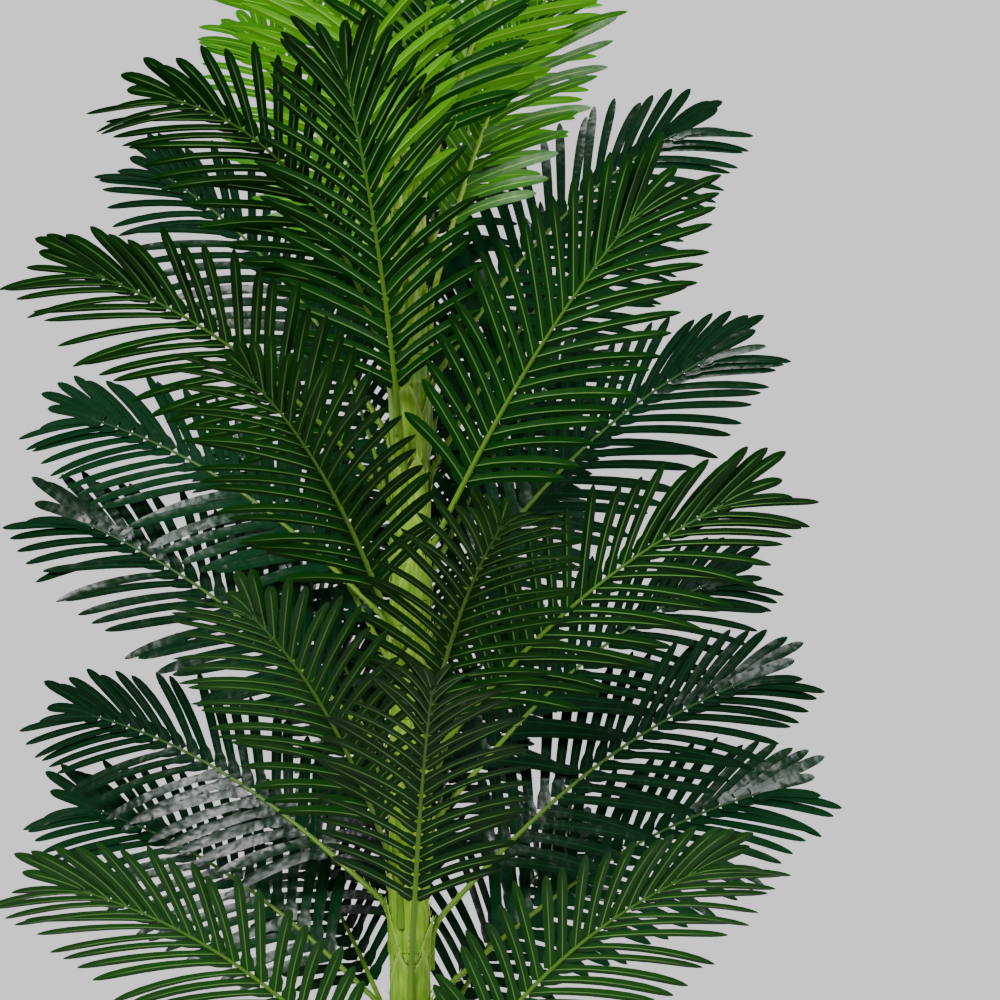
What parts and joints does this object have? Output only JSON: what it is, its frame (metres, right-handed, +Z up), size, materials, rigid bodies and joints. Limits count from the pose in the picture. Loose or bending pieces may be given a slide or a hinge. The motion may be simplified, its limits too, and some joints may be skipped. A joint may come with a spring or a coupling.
{
  "type": "artificial areca palm",
  "caption": "Potted artificial areca palm: lime stem of clasping sheaths, dark feather fronds all round it, lime young fronds on top, plain round pot.",
  "frame": {"origin": "centre of the flat underside of the pot", "axes": "+Z up along the stem; -Y is the side that the picture shows, +X is to the right seen from there"},
  "size_m": [1.1995, 1.1463, 2.2021],
  "materials": {
    "leaf_green": "satin",
    "leaf_lime": "satin",
    "stem_lime": "satin",
    "pot_black": "satin",
    "cement_grey": "matte"
  },
  "bodies": {
    "root": {"frond_01": "leaf_green", "frond_02": "leaf_green", "frond_03": "leaf_green", "frond_04": "leaf_green", "frond_05": "leaf_green", "frond_06": "leaf_green", "frond_07": "leaf_green", "frond_08": "leaf_green", "frond_09": "leaf_green", "frond_10": "leaf_green", "frond_11": "leaf_green", "frond_12": "leaf_green", "frond_13": "leaf_green", "frond_14": "leaf_green", "frond_15": "leaf_green", "frond_16": "leaf_green", "frond_17": "leaf_green", "frond_18": "leaf_green", "frond_19": "leaf_green", "frond_20": "leaf_green", "frond_21": "leaf_green", "frond_22": "leaf_green", "frond_23": "leaf_green", "frond_24": "leaf_green", "frond_25": "leaf_green", "frond_26": "leaf_green", "frond_27": "leaf_green", "frond_28": "leaf_green", "frond_29": "leaf_green", "frond_30": "leaf_green", "frond_31": "leaf_green", "frond_32": "leaf_green", "frond_33": "leaf_green", "frond_34": "leaf_green", "frond_35": "leaf_green", "frond_36": "leaf_green", "frond_37": "leaf_green", "frond_38": "leaf_green", "frond_39": "leaf_green", "frond_40": "leaf_green", "pot": "pot_black", "pot_fill": "cement_grey", "stem": "stem_lime", "young_frond_01": "leaf_lime", "young_frond_02": "leaf_lime", "young_frond_03": "leaf_lime", "young_frond_04": "leaf_lime", "young_frond_05": "leaf_lime", "young_frond_06": "leaf_lime", "young_frond_07": "leaf_lime", "young_frond_08": "leaf_lime"}
  },
  "joints": []
}
